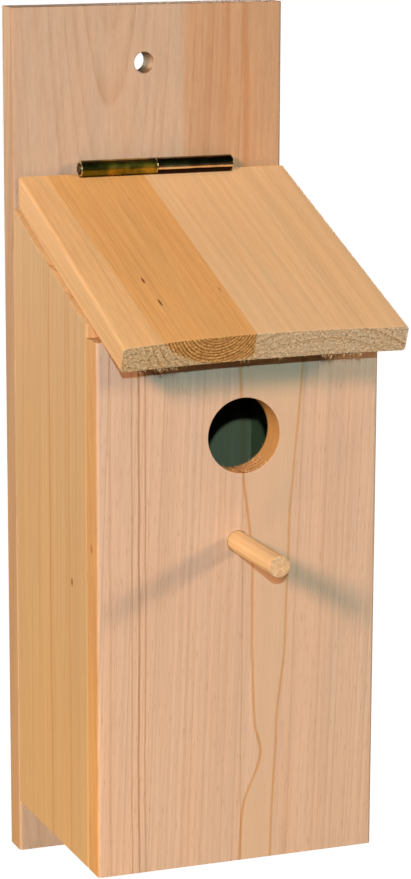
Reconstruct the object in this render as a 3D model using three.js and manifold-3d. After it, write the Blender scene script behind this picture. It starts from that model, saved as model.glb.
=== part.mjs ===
// A wall-hung wooden birdhouse: a tall backboard, a box of glued boards nailed to it from behind,
// a dowel perch, and a sloping roof board on a two-knuckle hinge. Millimetres, +Z up.
// It is drawn with x = 0 on the centre line, y = 0 on the backboard's rear face, z = 0 at the box's
// bottom edge and the front facing -Y. The finished group is moved so that its origin is the centre
// of the hanging hole on the rear face.
import * as THREE from "three";
import { mergeVertices } from "three/addons/utils/BufferGeometryUtils.js";
import Module from "manifold-3d";

const wasm = await Module();
wasm.setup();

// Driving dimensions
const WIDTH = 110; // outside width of the box and the backboard
const BOARD = 12; // thickness of every board
const BOX_DEPTH = 83; // from the backboard's front face to the front panel's rear face
const BACK_TOP = 312; // top of the backboard above the box's bottom
const BACK_FOOT = 21; // how far the backboard reaches below the box
const EDGE_ROUND = 1.4; // rounding of the boards' long edges
const ROOF_SLOPE = THREE.MathUtils.degToRad(20.6);
const ROOF_LENGTH = 126; // along the slope, top rear edge to top front edge
const ROOF_WIDTH = 109;
const ROOF_X = 1; // the roof board sits a little to the right
const ROOF_REAR_TOP = 248.6; // height of its top rear edge
const ROOF_CROWN = 1.1; // how far the board has cupped upwards at its front end
const HINGE_ROOM = 2.4; // gap behind the roof board for the folded hinge leaves
const HOLE_RADIUS = 14;
const HOLE_X = 1.9;
const HOLE_Z = 163.1;
const PERCH_RADIUS = 4;
const PERCH_REACH = 40; // how far the perch stands out of the front panel
const PERCH_X = -0.3;
const PERCH_Z = 123.6;
const HANG_RADIUS = 4;
const HANG_X = -1.8;
const HANG_Z = 290;
const HINGE_X = 1.6;
const HINGE_LENGTH = 62;
const BARREL_RADIUS = 3.2;
const BARREL_Z = 250.8;
const PIN_RADIUS = 2.2;
const LEAF_THICK = 0.9;
const LEAF_LENGTH = 60;
const LEAF_LOW = 238; // height of the hinge leaves' lower edge
const LEAF_CORNER = 1.5;
const SCREW = { head: 1.9, headDepth: 1, shank: 0.9, length: 10, point: 2 };
const NAIL = { head: 1.9, headDepth: 0.9, shank: 0.9, length: 30, point: 2.5 };
const SCREW_SPACING = 22;
const SIDE_NAIL_HEIGHTS = [28, 112, 196];
const FLOOR_NAIL_SPACING = 44;

// Gaps
const REST_GAP = 0.3; // between the roof board and the side panels under it
const FIT_GAP = 0.1; // between flat faces that meet
const HOLE_GAP = 0.15; // round a dowel
const TURN_GAP = 0.1; // round the hinge pin
const SWEEP_GAP = 0.4; // round the turning barrel
const PILOT_GAP = 0.3; // round nails and screws

// Worked out from them
const BACK_FRONT = -BOARD;
const FRONT_REAR = BACK_FRONT - BOX_DEPTH;
const FRONT_FACE = FRONT_REAR - BOARD;
const ROOF_REAR = BACK_FRONT - HINGE_ROOM;
const ROOF_UNDER_DROP = BOARD / Math.cos(ROOF_SLOPE);
const PIN_Y = BACK_FRONT - FIT_GAP - BARREL_RADIUS;
const BACK_LEAF_Y = BACK_FRONT - FIT_GAP; // its rear face
const ROOF_LEAF_Y = BACK_LEAF_Y - LEAF_THICK - FIT_GAP; // its rear face
const LEAF_SCREW_Z = (LEAF_LOW + BARREL_Z - BARREL_RADIUS) / 2;
const KNUCKLE_LENGTH = (HINGE_LENGTH - FIT_GAP) / 2;
const INSIDE_WIDTH = WIDTH - 2 * BOARD;
const FAR = 400; // larger than anything here, for cutting tools

// Faces round a circle
const FINE = 48;
const MEDIUM = 24;
const COARSE = 12;

const WOOD = {
  pale: new THREE.Color("#dcb485"),
  warm: new THREE.Color("#d3a267"),
  pink: new THREE.Color("#d9b08c"),
  dowel: new THREE.Color("#e8c48c"),
};
const PLATED = new THREE.Color("#7a6a34");
const STEEL = new THREE.Color("#9a9a98");

function roofUnder(y) {
  return ROOF_REAR_TOP - ROOF_UNDER_DROP - (ROOF_REAR - y) * Math.tan(ROOF_SLOPE);
}

// A three.js geometry as a manifold solid, and back
function solid(geometry) {
  geometry.deleteAttribute("normal");
  geometry.deleteAttribute("uv");
  const merged = mergeVertices(geometry);
  const vertProperties = new Float32Array(merged.attributes.position.array);
  const triVerts = new Uint32Array(merged.index.array);
  return new wasm.Manifold(new wasm.Mesh({ numProp: 3, vertProperties, triVerts }));
}

function geometryOf(body) {
  const { vertProperties, triVerts } = body.getMesh();
  const geometry = new THREE.BufferGeometry();
  geometry.setAttribute("position", new THREE.BufferAttribute(vertProperties, 3));
  geometry.setIndex(new THREE.BufferAttribute(triVerts, 1));
  return geometry;
}

function cut(body, ...tools) {
  return tools.reduce((rest, tool) => rest.subtract(tool), body);
}

// A rectangle with rounded corners, about the origin
function roundedRectangle(width, height, radius) {
  const x = width / 2 - radius;
  const y = height / 2 - radius;
  const shape = new THREE.Shape();
  shape.absarc(x, y, radius, 0, Math.PI / 2);
  shape.absarc(-x, y, radius, Math.PI / 2, Math.PI);
  shape.absarc(-x, -y, radius, Math.PI, 1.5 * Math.PI);
  shape.absarc(x, -y, radius, 1.5 * Math.PI, 2 * Math.PI);
  shape.closePath();
  return shape;
}

function extruded(shape, depth) {
  return new THREE.ExtrudeGeometry(shape, { depth, curveSegments: 2, bevelEnabled: false });
}

// An upright board with rounded long edges, centred on x and y, from z = low to z = high
function uprightBoard(widthX, widthY, x, y, low, high) {
  const geometry = extruded(roundedRectangle(widthX, widthY, EDGE_ROUND), high - low);
  return solid(geometry.translate(x, y, low));
}

function block(sizeX, sizeY, sizeZ, x, y, z) {
  return solid(new THREE.BoxGeometry(sizeX, sizeY, sizeZ).translate(x, y, z));
}

// A round bar along Y between two y values
function barY(radius, x, z, yA, yB, faces) {
  const geometry = new THREE.CylinderGeometry(radius, radius, Math.abs(yB - yA), faces);
  return solid(geometry.translate(x, (yA + yB) / 2, z));
}

// A round bar along X on the hinge's axis
function barrelBar(radius, xA, xB, faces) {
  const geometry = new THREE.CylinderGeometry(radius, radius, xB - xA, faces);
  return solid(geometry.rotateZ(Math.PI / 2).translate((xA + xB) / 2, PIN_Y, BARREL_Z));
}

// A turned piece: its profile of [radius, y] pairs runs from the lowest y on the axis to the highest
function turned(profile, faces) {
  return new THREE.LatheGeometry(profile.map(([r, y]) => new THREE.Vector2(r, y)), faces);
}

// A nail or screw with the centre of its head's face at (x, y, z). It points along -Y, or +Y.
// extra makes it fatter and longer, for the hole it sits in.
function fastener(size, x, y, z, pointsForward, extra) {
  const tip = -size.length - extra;
  const shank = size.shank + extra;
  const head = size.head + extra;
  const geometry = turned(
    [
      [0, tip],
      [shank, tip + size.point],
      [shank, -size.headDepth],
      [head, 0],
      [0, 0],
    ],
    COARSE,
  );
  if (!pointsForward) geometry.rotateX(Math.PI);
  return solid(geometry.translate(x, y, z));
}

// The same fastener as a cutter, run out past its head's face
function fastenerHole(size, x, y, z, pointsForward) {
  const out = pointsForward ? 1 : -1;
  const mouth = barY(size.head + PILOT_GAP, x, z, y, y + out * size.headDepth, COARSE);
  return fastener(size, x, y, z, pointsForward, PILOT_GAP).add(mouth);
}

function screwPlaces() {
  return [-1, 0, 1].map((step) => HINGE_X + step * SCREW_SPACING);
}

function nailPlaces() {
  const sideX = (WIDTH - BOARD) / 2;
  const side = (name, x) =>
    SIDE_NAIL_HEIGHTS.map((z, i) => ({ name: `${name}_nail_${i + 1}`, x, z }));
  const floor = [-1, 1].map((step, i) => ({
    name: `floor_nail_${i + 1}`,
    x: (step * FLOOR_NAIL_SPACING) / 2,
    z: BOARD / 2,
  }));
  return [...side("side_left", -sideX), ...side("side_right", sideX), ...floor];
}

const nailHoles = nailPlaces().map(({ x, z }) => fastenerHole(NAIL, x, 0, z, true));

function backboard() {
  const board = uprightBoard(WIDTH, BOARD, 0, -BOARD / 2, -BACK_FOOT, BACK_TOP);
  const hangingHole = barY(HANG_RADIUS, HANG_X, HANG_Z, -FAR, FAR, MEDIUM);
  const screwHoles = screwPlaces().map((x) =>
    fastenerHole(SCREW, x, BACK_LEAF_Y - LEAF_THICK, LEAF_SCREW_Z, false),
  );
  return cut(board, hangingHole, ...nailHoles, ...screwHoles);
}

// Everything above the plane of the roof board's underside
function aboveSlope() {
  const geometry = new THREE.BoxGeometry(FAR, FAR, FAR).translate(0, 0, FAR / 2);
  geometry.rotateX(ROOF_SLOPE);
  return solid(geometry.translate(0, ROOF_REAR, roofUnder(ROOF_REAR) - REST_GAP));
}

function sidePanel(side) {
  const x = (side * (WIDTH - BOARD)) / 2;
  const board = uprightBoard(BOARD, BOX_DEPTH, x, BACK_FRONT - BOX_DEPTH / 2, 0, BACK_TOP);
  return cut(board, aboveSlope(), ...nailHoles);
}

function frontPanel() {
  const top = roofUnder(FRONT_FACE) - REST_GAP;
  const board = uprightBoard(WIDTH, BOARD, 0, FRONT_REAR - BOARD / 2, 0, top);
  const entrance = barY(HOLE_RADIUS, HOLE_X, HOLE_Z, -FAR, FAR, FINE);
  const perchHole = barY(PERCH_RADIUS + HOLE_GAP, PERCH_X, PERCH_Z, -FAR, FAR, FINE);
  return cut(board, entrance, perchHole);
}

function floorPanel() {
  const y = BACK_FRONT - BOX_DEPTH / 2;
  const width = INSIDE_WIDTH - 2 * FIT_GAP;
  const board = block(width, BOX_DEPTH - 2 * FIT_GAP, BOARD, 0, y, BOARD / 2);
  return cut(board, ...nailHoles);
}

function perch() {
  const length = PERCH_REACH + BOARD;
  const chamfer = 0.4;
  const profile = [
    [0, 0],
    [PERCH_RADIUS - chamfer, 0],
    [PERCH_RADIUS, chamfer],
    [PERCH_RADIUS, length - chamfer],
    [PERCH_RADIUS - chamfer, length],
    [0, length],
  ];
  return solid(turned(profile, FINE).translate(PERCH_X, FRONT_FACE - PERCH_REACH, PERCH_Z));
}

// The roof board's end: flat top and bottom with rounded corners, and points along both faces so
// that the crown can bend them. Its top is at y = 0.
function roofEnd() {
  const outline = roundedRectangle(ROOF_WIDTH, BOARD, EDGE_ROUND).getPoints(2);
  const span = ROOF_WIDTH - 2 * EDGE_ROUND;
  const steps = 8;
  const points = [];
  outline.forEach((point, i) => {
    const next = outline[(i + 1) % outline.length];
    points.push(point);
    if (Math.abs(next.x - point.x) < span / 2) return;
    for (let k = 1; k < steps; k += 1) points.push(point.clone().lerp(next, k / steps));
  });
  return new THREE.Shape(points.map((p) => new THREE.Vector2(p.x, p.y - BOARD / 2)));
}

function roofPanel() {
  const spare = 10; // extra length behind, cut off plumb with the backboard
  const steps = 4;
  const depth = ROOF_LENGTH + spare;
  const geometry = new THREE.ExtrudeGeometry(roofEnd(), { depth, steps, bevelEnabled: false });
  geometry.rotateX(Math.PI / 2).translate(0, spare, 0);
  const points = geometry.attributes.position;
  for (let i = 0; i < points.count; i += 1) {
    const across = points.getX(i) / (ROOF_WIDTH / 2);
    const along = Math.max(0, -points.getY(i) / ROOF_LENGTH);
    points.setZ(i, points.getZ(i) + ROOF_CROWN * along * (1 - across * across));
  }
  geometry.rotateX(ROOF_SLOPE).translate(ROOF_X, ROOF_REAR, ROOF_REAR_TOP);
  const behind = block(FAR, FAR, FAR, 0, ROOF_REAR + FAR / 2, ROOF_REAR_TOP);
  const seatEnd = HINGE_LENGTH / 2 + SWEEP_GAP;
  const seat = barrelBar(BARREL_RADIUS + SWEEP_GAP, HINGE_X - seatEnd, HINGE_X + seatEnd, MEDIUM);
  const screwHoles = screwPlaces().map((x) =>
    fastenerHole(SCREW, x, ROOF_LEAF_Y, LEAF_SCREW_Z, true),
  );
  return cut(solid(geometry), behind, seat, ...screwHoles);
}

// A hinge leaf: a thin plate under the barrel with one knuckle, the left (side = -1) or the right
function hingeLeaf(rearY, side, pointsForward) {
  const height = BARREL_Z - LEAF_LOW;
  const outline = roundedRectangle(LEAF_LENGTH, height, LEAF_CORNER);
  const geometry = extruded(outline, LEAF_THICK).rotateX(Math.PI / 2);
  const plate = solid(geometry.translate(HINGE_X, rearY, LEAF_LOW + height / 2));
  const inner = HINGE_X + (side * FIT_GAP) / 2;
  const outer = inner + side * KNUCKLE_LENGTH;
  const [low, high] = [Math.min(inner, outer), Math.max(inner, outer)];
  const knuckle = barrelBar(BARREL_RADIUS, low, high, MEDIUM);
  const away = HINGE_X - side * FAR;
  const [farLow, farHigh] = [Math.min(away, inner), Math.max(away, inner)];
  const sweep = barrelBar(BARREL_RADIUS + SWEEP_GAP, farLow, farHigh, MEDIUM);
  const bore = barrelBar(PIN_RADIUS + TURN_GAP, -FAR, FAR, MEDIUM);
  const headFace = pointsForward ? rearY : rearY - LEAF_THICK;
  const screwHoles = screwPlaces().map((x) =>
    fastenerHole(SCREW, x, headFace, LEAF_SCREW_Z, pointsForward),
  );
  return cut(plate.add(knuckle), sweep, bore, ...screwHoles);
}

function hingePin() {
  const dome = 0.4;
  const length = HINGE_LENGTH + 2 * dome;
  const profile = [
    [0, 0],
    [PIN_RADIUS - dome, 0],
    [PIN_RADIUS, dome],
    [PIN_RADIUS, length - dome],
    [PIN_RADIUS - dome, length],
    [0, length],
  ];
  const geometry = turned(profile, MEDIUM).translate(0, -length / 2, 0).rotateZ(Math.PI / 2);
  return solid(geometry.translate(HINGE_X, PIN_Y, BARREL_Z));
}

const birdhouse = new THREE.Group();
birdhouse.position.set(-HANG_X, 0, -HANG_Z);

function place(name, body, color, roughness, metalness) {
  const material = new THREE.MeshStandardMaterial({ color, roughness, metalness });
  material.flatShading = true;
  const mesh = new THREE.Mesh(geometryOf(body), material);
  mesh.name = name;
  birdhouse.add(mesh);
}

place("backboard", backboard(), WOOD.pink, 0.75, 0);
place("side_left", sidePanel(-1), WOOD.warm, 0.75, 0);
place("side_right", sidePanel(1), WOOD.warm, 0.75, 0);
place("front_panel", frontPanel(), WOOD.pink, 0.75, 0);
place("floor_panel", floorPanel(), WOOD.pale, 0.8, 0);
place("roof_panel", roofPanel(), WOOD.pale, 0.7, 0);
place("perch", perch(), WOOD.dowel, 0.6, 0);
place("hinge_leaf_back", hingeLeaf(BACK_LEAF_Y, -1, false), PLATED, 0.3, 1);
place("hinge_leaf_roof", hingeLeaf(ROOF_LEAF_Y, 1, true), PLATED, 0.3, 1);
place("hinge_pin", hingePin(), PLATED, 0.3, 1);
screwPlaces().forEach((x, i) => {
  const backFace = BACK_LEAF_Y - LEAF_THICK;
  const back = fastener(SCREW, x, backFace, LEAF_SCREW_Z, false, 0);
  const roof = fastener(SCREW, x, ROOF_LEAF_Y, LEAF_SCREW_Z, true, 0);
  place(`back_leaf_screw_${i + 1}`, back, PLATED, 0.35, 1);
  place(`roof_leaf_screw_${i + 1}`, roof, PLATED, 0.35, 1);
});
nailPlaces().forEach(({ name, x, z }) => {
  place(name, fastener(NAIL, x, 0, z, true, 0), STEEL, 0.4, 1);
});

export default birdhouse;
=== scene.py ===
"""The looks of a small wall-hung wooden birdhouse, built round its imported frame.

The boards are worked out on a bench: millimetres, x = 0 on the backboard's centre line, y = 0 on its
rear face, z = 0 at the box's bottom edge, +Z up and the front facing -Y. A finished piece is then moved
into the frame, in metres.
"""

import math
import random

import bmesh
import bpy
from mathutils import Matrix, Vector


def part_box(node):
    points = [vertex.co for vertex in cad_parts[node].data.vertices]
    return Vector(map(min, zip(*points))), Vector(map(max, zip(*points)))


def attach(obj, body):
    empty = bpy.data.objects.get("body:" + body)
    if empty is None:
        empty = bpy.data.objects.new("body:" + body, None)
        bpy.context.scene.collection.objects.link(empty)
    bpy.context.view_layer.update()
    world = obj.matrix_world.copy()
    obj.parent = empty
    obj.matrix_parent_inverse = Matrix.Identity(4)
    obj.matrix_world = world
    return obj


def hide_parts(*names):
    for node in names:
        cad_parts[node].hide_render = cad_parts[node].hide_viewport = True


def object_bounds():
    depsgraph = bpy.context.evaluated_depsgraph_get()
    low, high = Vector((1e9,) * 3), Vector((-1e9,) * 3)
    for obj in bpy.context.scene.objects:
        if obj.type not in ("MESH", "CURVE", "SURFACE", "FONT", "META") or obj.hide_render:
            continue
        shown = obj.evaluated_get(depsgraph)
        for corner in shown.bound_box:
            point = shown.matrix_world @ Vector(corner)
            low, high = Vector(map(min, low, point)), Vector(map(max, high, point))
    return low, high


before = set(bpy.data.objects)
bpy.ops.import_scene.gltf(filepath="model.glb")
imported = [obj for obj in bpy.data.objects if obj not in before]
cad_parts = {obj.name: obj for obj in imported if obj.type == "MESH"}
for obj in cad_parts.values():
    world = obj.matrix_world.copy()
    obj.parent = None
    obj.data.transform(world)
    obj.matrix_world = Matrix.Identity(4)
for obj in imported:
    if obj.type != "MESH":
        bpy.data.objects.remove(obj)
cad_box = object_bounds()

MM = 0.001
UP = Vector((0, 0, 1))

# ---------------------------------------------------------------- sizes, in bench millimetres
BOARD_THICK = 12
EDGE_ROUND = 1.4  # rounding of the boards' long edges
CUT_EDGE = 0.3  # softening of the sawn ends
PLANE_ROOM = 20  # spare wood above a side before its top is sawn to the slope
ROOF_SLOPE = math.radians(20.6)
ROOF_LENGTH = 126
ROOF_CROWN = 1.1  # how far the roof board has cupped upwards at its front end
ROOF_WEAR = 1.7  # how far its left top corner is worn down there
ROOF_SEAM_X = -3.8  # the glue line between its two strips
THIN_FROM = 0.78  # the share of its length beyond which its underside is planed away
THIN_LEFT = 0.6  # how much is planed away at the front end's left
THIN_MORE = 1.3  # and how much more at its right
REST_GAP = 0.3
HOLE_RADIUS = 14
HOLE_X = 1.9
HOLE_Z = 163.1
PERCH_RADIUS = 4
PERCH_X = -0.3
PERCH_Z = 123.6
HANG_RADIUS = 4
HANG_X = -1.8
HANG_Z = 290
HINGE_X = 1.6
HINGE_END = 31  # half the barrel's length
BARREL_RADIUS = 3.2
LEAF_THICK = 0.9
LEAF_LENGTH = 60
LEAF_LOW = 238
LEAF_CORNER = 1.5
ROLL_ANGLE = math.radians(312)  # how far a leaf rolls round the pin
SWEEP_GAP = 0.4
SCREW_HEAD = 1.9
SCREW_SPACING = 22
SCREW_HEIGHT = 242.8
SCREW_RECESS = (1.05, 0.26, 0.55)  # the cross's reach, half width and depth
NAIL_HEAD = 1.9
NAIL_DEPTH = 0.3  # how far a nail is driven below the surface
SIDE_NAIL_HEIGHTS = (28, 112, 196)
FLOOR_NAIL_SPACING = 44
ROUND_SIDES = 64


def bench_origin():
    back_low, back_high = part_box("backboard")
    side_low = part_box("side_left")[0]
    return Vector(((back_low.x + back_high.x) / 2, back_high.y, side_low.z))


BENCH = Matrix.Translation(bench_origin()) @ Matrix.Scale(MM, 4)


def bench_box(node):
    low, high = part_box(node)
    away = BENCH.inverted()
    return away @ low, away @ high


def in_frame(point):
    return BENCH @ Vector(point)


def barrel_axis():
    pin_low, pin_high = bench_box("hinge_pin")
    return (pin_low + pin_high) / 2


# ---------------------------------------------------------------- camera, lights and floor
def direction(azimuth, elevation):
    """From the object towards a viewer or a light. Azimuth 0 is straight in front."""
    a = math.radians(azimuth)
    e = math.radians(elevation)
    return Vector((math.sin(a) * math.cos(e), -math.cos(a) * math.cos(e), math.sin(e)))


CAMERA_AZIMUTH = -21.32
CAMERA_ELEVATION = 13.26
CAMERA_ROLL = math.radians(0.2)
CAMERA_DISTANCE = 1.16967
CAMERA_AIM = Vector((0.00819, -0.057, -0.16238))
CAMERA_LENS = 125.49
CAMERA_SHIFT = 0.0688


def add_camera():
    back = direction(CAMERA_AZIMUTH, CAMERA_ELEVATION)
    level = (-back).cross(UP).normalized()
    right = math.cos(CAMERA_ROLL) * level + math.sin(CAMERA_ROLL) * level.cross(-back)
    above = back.cross(right)
    turn = Matrix((right, above, back)).transposed().to_4x4()
    data = bpy.data.cameras.new("camera")
    data.sensor_width = 36
    data.lens = CAMERA_LENS
    data.shift_y = CAMERA_SHIFT
    data.clip_start = 0.05
    data.clip_end = 200
    data.dof.use_dof = False
    camera = bpy.data.objects.new("camera", data)
    camera.matrix_world = Matrix.Translation(CAMERA_AIM + back * CAMERA_DISTANCE) @ turn
    bpy.context.scene.collection.objects.link(camera)
    bpy.context.scene.camera = camera


add_camera()

LIGHT_AIM = in_frame((0, -80, 140))
FOOT_AIM = in_frame((-60, -30, -40))


def add_light(name, azimuth, elevation, distance, size, power, colour, aim=LIGHT_AIM, spread=180):
    """A round soft light that looks at aim from distance away."""
    data = bpy.data.lights.new(name, "AREA")
    data.shape = "DISK"
    data.size = size
    data.energy = power
    data.color = colour
    data.spread = math.radians(spread)
    lamp = bpy.data.objects.new(name, data)
    towards = direction(azimuth, elevation)
    lamp.location = aim + towards * distance
    lamp.rotation_euler = towards.to_track_quat("Z", "Y").to_euler()
    bpy.context.scene.collection.objects.link(lamp)


add_light("softbox_left", -51, 25, 2.4, 0.42, 47.5, (1.0, 0.5, 0.335))
add_light("softbox_right", 51, 19.5, 2.4, 0.42, 25, (1.0, 0.66, 0.41))
add_light("softbox_front", -21.3, 16.8, 2.4, 0.04, 33, (0.52, 0.84, 1.0))
add_light("side_fill", -96, 4, 1.6, 0.8, 6, (1.0, 0.86, 0.62))
add_light("low_fill", -50, -24, 0.6, 0.2, 0.11, (1.0, 0.6, 0.25), FOOT_AIM, 42)
add_light("rear_left", -158, 10, 1.7, 0.7, 14, (1.0, 0.86, 0.74))
add_light("rear_right", 150, 12, 1.7, 0.7, 18, (1.0, 0.86, 0.74))

scene = bpy.context.scene
scene.view_settings.view_transform = "Standard"


def add_studio():
    """White behind the object, and a dim warm glow from all round on it."""
    world = bpy.data.worlds.new("studio")
    world.use_nodes = True
    scene.world = world
    tree = world.node_tree
    tree.nodes.clear()
    dim = tree.nodes.new("ShaderNodeBackground")
    dim.inputs["Color"].default_value = (1, 0.72, 0.62, 1)
    dim.inputs["Strength"].default_value = 0.03
    white = tree.nodes.new("ShaderNodeBackground")
    white.inputs["Color"].default_value = (1, 1, 1, 1)
    path = tree.nodes.new("ShaderNodeLightPath")
    either = tree.nodes.new("ShaderNodeMixShader")
    sky = tree.nodes.new("ShaderNodeOutputWorld")
    tree.links.new(path.outputs["Is Camera Ray"], either.inputs[0])
    tree.links.new(dim.outputs[0], either.inputs[1])
    tree.links.new(white.outputs[0], either.inputs[2])
    tree.links.new(either.outputs[0], sky.inputs[0])


add_studio()
FLOOR_REACH = 60
FLOOR_DROP = 1.3  # how far below the object the floor lies, as the birdhouse hangs


def add_floor():
    bm = bmesh.new()
    bmesh.ops.create_grid(bm, x_segments=1, y_segments=1, size=FLOOR_REACH)
    bmesh.ops.translate(bm, vec=Vector((0, 0, cad_box[0].z - FLOOR_DROP)), verts=bm.verts)
    data = bpy.data.meshes.new("floor")
    bm.to_mesh(data)
    bm.free()
    floor = bpy.data.objects.new("floor", data)
    scene.collection.objects.link(floor)
    material = bpy.data.materials.new("pale_floor")
    material.use_nodes = True
    shader = material.node_tree.nodes["Principled BSDF"]
    shader.inputs["Base Color"].default_value = (0.9, 0.9, 0.9, 1)
    shader.inputs["Roughness"].default_value = 0.9
    shader.inputs["Emission Color"].default_value = (1, 1, 1, 1)
    shader.inputs["Emission Strength"].default_value = 1
    data.materials.append(material)
    floor.visible_diffuse = False
    floor.visible_glossy = False
    floor.visible_shadow = False


add_floor()


# ---------------------------------------------------------------- finishes
class Finish:
    """A material and its nodes, put together one node at a time."""

    def __init__(self, name):
        self.material = bpy.data.materials.new(name)
        self.material.use_nodes = True
        self.tree = self.material.node_tree
        self.tree.nodes.clear()
        self.shader = self.tree.nodes.new("ShaderNodeBsdfPrincipled")
        out = self.tree.nodes.new("ShaderNodeOutputMaterial")
        self.tree.links.new(self.shader.outputs[0], out.inputs[0])
        self.coordinates = self.tree.nodes.new("ShaderNodeTexCoord")

    def put(self, socket, value):
        if isinstance(value, bpy.types.NodeSocket):
            self.tree.links.new(value, socket)
        elif isinstance(value, (tuple, list)) and len(socket.default_value) == 4 and len(value) == 3:
            socket.default_value = (*value, 1)
        else:
            socket.default_value = value

    def node(self, kind, inputs, **settings):
        made = self.tree.nodes.new(kind)
        for name, value in settings.items():
            setattr(made, name, value)
        for key, value in inputs.items():
            self.put(made.inputs[key], value)
        return made

    def math(self, operation, *values, clamp=False):
        inputs = dict(enumerate(values))
        made = self.node("ShaderNodeMath", inputs, operation=operation, use_clamp=clamp)
        return made.outputs[0]

    def vector(self, operation, *values):
        made = self.node("ShaderNodeVectorMath", dict(enumerate(values)), operation=operation)
        scalar = operation in ("LENGTH", "DISTANCE", "DOT_PRODUCT")
        return made.outputs["Value" if scalar else "Vector"]

    def step(self, value, low, high, to_low=0.0, to_high=1.0):
        """A smooth step from to_low at low to to_high at high."""
        inputs = {0: value, 1: low, 2: high, 3: to_low, 4: to_high}
        made = self.node("ShaderNodeMapRange", inputs, interpolation_type="SMOOTHSTEP")
        return made.outputs[0]

    def mix(self, factor, first, second, blend="MIX"):
        inputs = {0: factor, 6: first, 7: second}
        made = self.node("ShaderNodeMix", inputs, data_type="RGBA", blend_type=blend)
        return made.outputs[2]

    def ramp(self, value, stops, interpolation="LINEAR"):
        made = self.node("ShaderNodeValToRGB", {0: value})
        made.color_ramp.interpolation = interpolation
        elements = made.color_ramp.elements
        while len(elements) < len(stops):
            elements.new(0.5)
        for element, (position, shade) in zip(elements, stops):
            element.position = position
            element.color = (shade, shade, shade, 1)
        return made.outputs[0]

    def noise(self, where, scale, detail=2.0, rough=0.5, output="Fac"):
        inputs = {"Vector": where, "Scale": scale, "Detail": detail, "Roughness": rough}
        return self.node("ShaderNodeTexNoise", inputs).outputs[output]

    def noise_line(self, where, scale, detail=2.0):
        inputs = {"W": where, "Scale": scale, "Detail": detail}
        return self.node("ShaderNodeTexNoise", inputs, noise_dimensions="1D").outputs["Fac"]

    def place(self):
        return self.coordinates.outputs["Object"]

    def grey(self, shade):
        """The same shade in red, green and blue."""
        return self.node("ShaderNodeCombineColor", {0: shade, 1: shade, 2: shade}).outputs[0]

    def bump(self, height, distance):
        inputs = {"Height": height, "Distance": distance, "Strength": 1.0}
        self.put(self.shader.inputs["Normal"], self.node("ShaderNodeBump", inputs).outputs[0])


def inside_box():
    """The room inside the box, a hair larger so that its walls' faces lie in it: centre and half size."""
    right_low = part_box("side_right")[0]
    left_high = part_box("side_left")[1]
    front_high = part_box("front_panel")[1]
    back_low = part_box("backboard")[0]
    roof_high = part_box("roof_panel")[1]
    low = Vector((left_high.x, front_high.y, right_low.z))
    high = Vector((right_low.x, back_low.y, roof_high.z - (BOARD_THICK + 1) * MM))
    hair = Vector((0.9 * MM, 0.9 * MM, 0.2 * MM))
    return (low + high) / 2, (high - low) / 2 + hair


INSIDE_CENTRE, INSIDE_HALF = inside_box()
# painted shade: the teal grey tint that darkens faces looking into the box, for the dim light inside
INSIDE_PAINTED_SHADE = (0.33, 0.47, 0.42)


BOARD_SPAN = 210  # the height and width over which a board's curves are drawn
BOARD_WIDTH = 128


HEART_RING_GAP = 1.15  # millimetres between the close rings of the darker heart
HEART_RING_TINT = (0.56, 0.45, 0.34)
BLOTCH_SHOW = 0.6
BLOTCH_TINT = (1.06, 0.98, 0.92)
END_RINGS = 0.9  # how strongly the rings show on a sawn end
END_LINE_TINT = (0.7, 0.56, 0.4)
PIT_TINT = (0.62, 0.55, 0.46)
GLINT_TINT = (1.32, 1.42, 1.6)
WOOD_ROUGHNESS = 0.62
WOOD_SHINE = 0.35
GRAIN_RELIEF = 0.00022


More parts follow.
